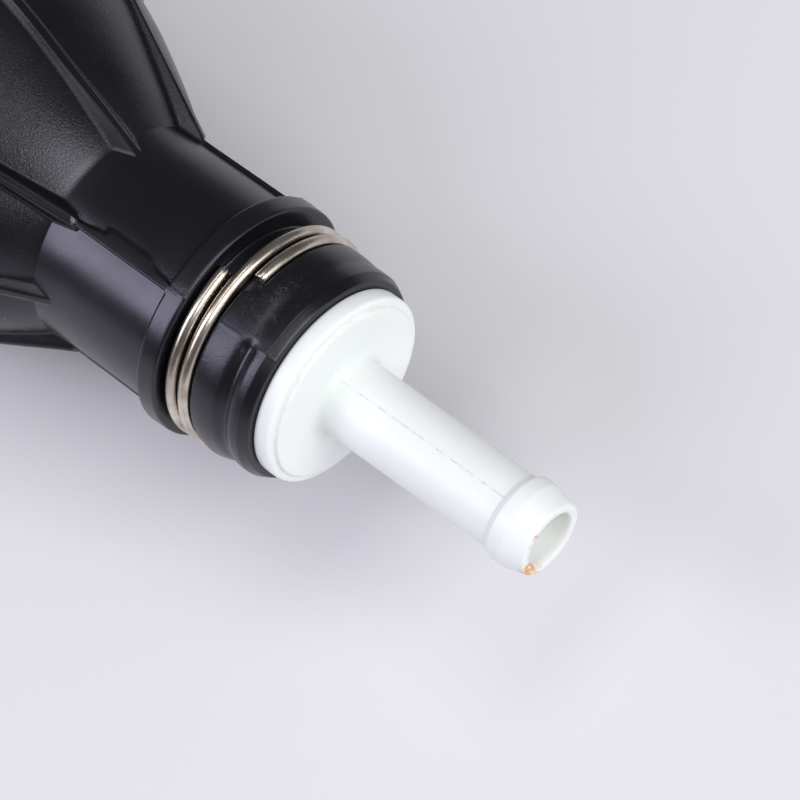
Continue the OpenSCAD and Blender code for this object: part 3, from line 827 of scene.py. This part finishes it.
def drawn_wire(name, tint, tarnish):
    """Bright wire with drawing lines along it and a little tarnish."""
    s = Shader(name, Metallic=1.0)
    join = s.nodes.new("ShaderNodeCombineXYZ")
    s.links.new(s.times(s.attribute("around"), STREAKS), join.inputs[0])
    s.links.new(s.attribute("along"), join.inputs[1])
    lines = s.noise(6.0, 4, 0.6, join.outputs[0])
    patches = s.times(s.span(s.noise(240, 4, 0.6), 0.35, 0.65), 0.6)
    dark_lines = s.times(s.span(lines, 0.45, 0.7), 0.5)
    s.colour(s.blend(s.plus(patches, dark_lines), tint, tarnish))
    s.roughness(s.span(lines, 0.3, 0.7, 0.18, 0.36))
    s.bump(lines, WIRE_BUMP, 0.6)
    return s.material


def moulded(name, light, dark, low, high):
    """Plain moulded plastic or rubber of an inner piece; low to high is its roughness."""
    s = Shader(name)
    s.colour(s.blend(s.span(s.noise(140, 4), 0.35, 0.65), light, dark))
    s.roughness(s.span(s.noise(500, 4), 0.3, 0.7, low, high))
    s.bump(s.noise(2400, 3), SKIN_BUMP, 0.6)
    return s.material


# ---- Stage, in metres ----

FLOOR_HALF, FLOOR_TONE, FLOOR_CLOUDS = 3.0, (0.732, 0.727, 0.756), 1.02
WORLD_TONE, WORLD_STRENGTH = (0.92, 0.92, 1.0), 0.12

LAMP_FAR = 1.2
WHITE_LIGHT, LILAC_LIGHT = (1.0, 0.99, 1.0), (0.87, 0.84, 1.0)
# name, azimuth, elevation, angle across, angle up, radiance, tint
SOFTBOXES = [
    ("top_softbox", 2, 46, 46, 16, 7.2, WHITE_LIGHT),
    ("side_softbox", -124, 39, 22, 35, 6.0, LILAC_LIGHT),
    ("end_softbox", 14, 22, 44, 26, 2.2, WHITE_LIGHT),
    ("overhead_softbox", -90, 86, 16, 58, 3.1, WHITE_LIGHT),
]

# place and directions of the camera, fitted to the photograph
CAMERA_AT = (0.1949, -0.0645, 0.2625)
CAMERA_RIGHT = (0.7366, 0.6482, -0.1920)
CAMERA_UP = (-0.5254, 0.7274, 0.4415)
CAMERA_LENS, CAMERA_SENSOR, CAMERA_CLIP = 135.0, 36.0, (0.01, 20)


def make_floor(z):
    mesh = bpy.data.meshes.new("floor")
    h = FLOOR_HALF
    mesh.from_pydata([(-h, -h, z), (h, -h, z), (h, h, z), (-h, h, z)], [], [[0, 1, 2, 3]])
    floor = bpy.data.objects.new("floor", mesh)
    bpy.context.scene.collection.objects.link(floor)
    s = Shader("floor", Roughness=0.7)
    lighter = tuple(c * FLOOR_CLOUDS for c in FLOOR_TONE)
    s.colour(s.blend(s.noise(3, 2), FLOOR_TONE, lighter))
    mesh.materials.append(s.material)


def make_softbox(name, azimuth, elevation, across, up, radiance, tint):
    """A rectangular lamp that is seen from the object under the given angles."""
    a, e = math.radians(azimuth), math.radians(elevation)
    towards = Vector((math.cos(a) * math.cos(e), math.sin(a) * math.cos(e), math.sin(e)))
    wide = 2 * LAMP_FAR * math.tan(math.radians(across) / 2)
    high = 2 * LAMP_FAR * math.tan(math.radians(up) / 2)
    lamp = bpy.data.lights.new(name, "AREA")
    lamp.shape, lamp.size, lamp.size_y = "RECTANGLE", wide, high
    lamp.energy, lamp.color = radiance * math.pi * wide * high, tint
    held = bpy.data.objects.new(name, lamp)
    held.location = LAMP_FAR * towards
    held.rotation_mode = "QUATERNION"
    held.rotation_quaternion = (-towards).to_track_quat("-Z", "Y")
    bpy.context.scene.collection.objects.link(held)


def make_world():
    world = bpy.data.worlds.new("studio")
    world.use_nodes = True
    back = world.node_tree.nodes["Background"]
    back.inputs["Color"].default_value = (*WORLD_TONE, 1)
    back.inputs["Strength"].default_value = WORLD_STRENGTH
    bpy.context.scene.world = world


def make_camera():
    """The camera at the photograph's place, which rolls a little to the left."""
    right, up = Vector(CAMERA_RIGHT), Vector(CAMERA_UP)
    data = bpy.data.cameras.new("camera")
    data.lens, data.sensor_width = CAMERA_LENS, CAMERA_SENSOR
    data.clip_start, data.clip_end = CAMERA_CLIP
    camera = bpy.data.objects.new("camera", data)
    turn = Matrix((right, up, right.cross(up))).transposed().to_4x4()
    camera.matrix_world = Matrix.Translation(CAMERA_AT) @ turn
    bpy.context.scene.collection.objects.link(camera)
    bpy.context.scene.camera = camera


# ---- The scene ----

bpy.context.scene.view_settings.view_transform = "Standard"
make_camera()
make_world()
for softbox in SOFTBOXES:
    make_softbox(*softbox)
make_floor(cad_box[0].z)

rubber = bulb_rubber()
plastic = white_plastic()
clip_steel = drawn_wire("clip_steel", (0.76, 0.72, 0.64), (0.30, 0.22, 0.15))
spring_steel = drawn_wire("spring_steel", (0.66, 0.67, 0.69), (0.5, 0.5, 0.5))
make_bulb().data.materials.append(rubber)
for end, sign in (("outlet", 1), ("inlet", -1)):
    make_fitting(end, sign).data.materials.append(plastic)
    make_clip(end, sign).data.materials.append(clip_steel)
    make_spring(end).data.materials.append(spring_steel)

# the inner pieces stay CAD solids and get their own materials
INNER = {
    "valve_body": moulded("valve_plastic", (0.86, 0.86, 0.83), (0.80, 0.80, 0.77), 0.35, 0.5),
    "valve_cap": moulded("cap_plastic", (0.78, 0.75, 0.66), (0.72, 0.69, 0.60), 0.4, 0.55),
    "valve_poppet": moulded("poppet_plastic", (0.78, 0.75, 0.66), (0.70, 0.67, 0.58), 0.35, 0.5),
    "valve_washer": moulded("washer_rubber", (0.05, 0.045, 0.04), (0.03, 0.028, 0.025), 0.5, 0.7),
    "valve_ring": moulded("ring_rubber", (0.03, 0.03, 0.03), (0.02, 0.02, 0.02), 0.4, 0.6),
}
for end in ("outlet", "inlet"):
    for part, material in INNER.items():
        for held in frame["nodes"][f"{end}_{part}"].material_slots:
            held.material = material
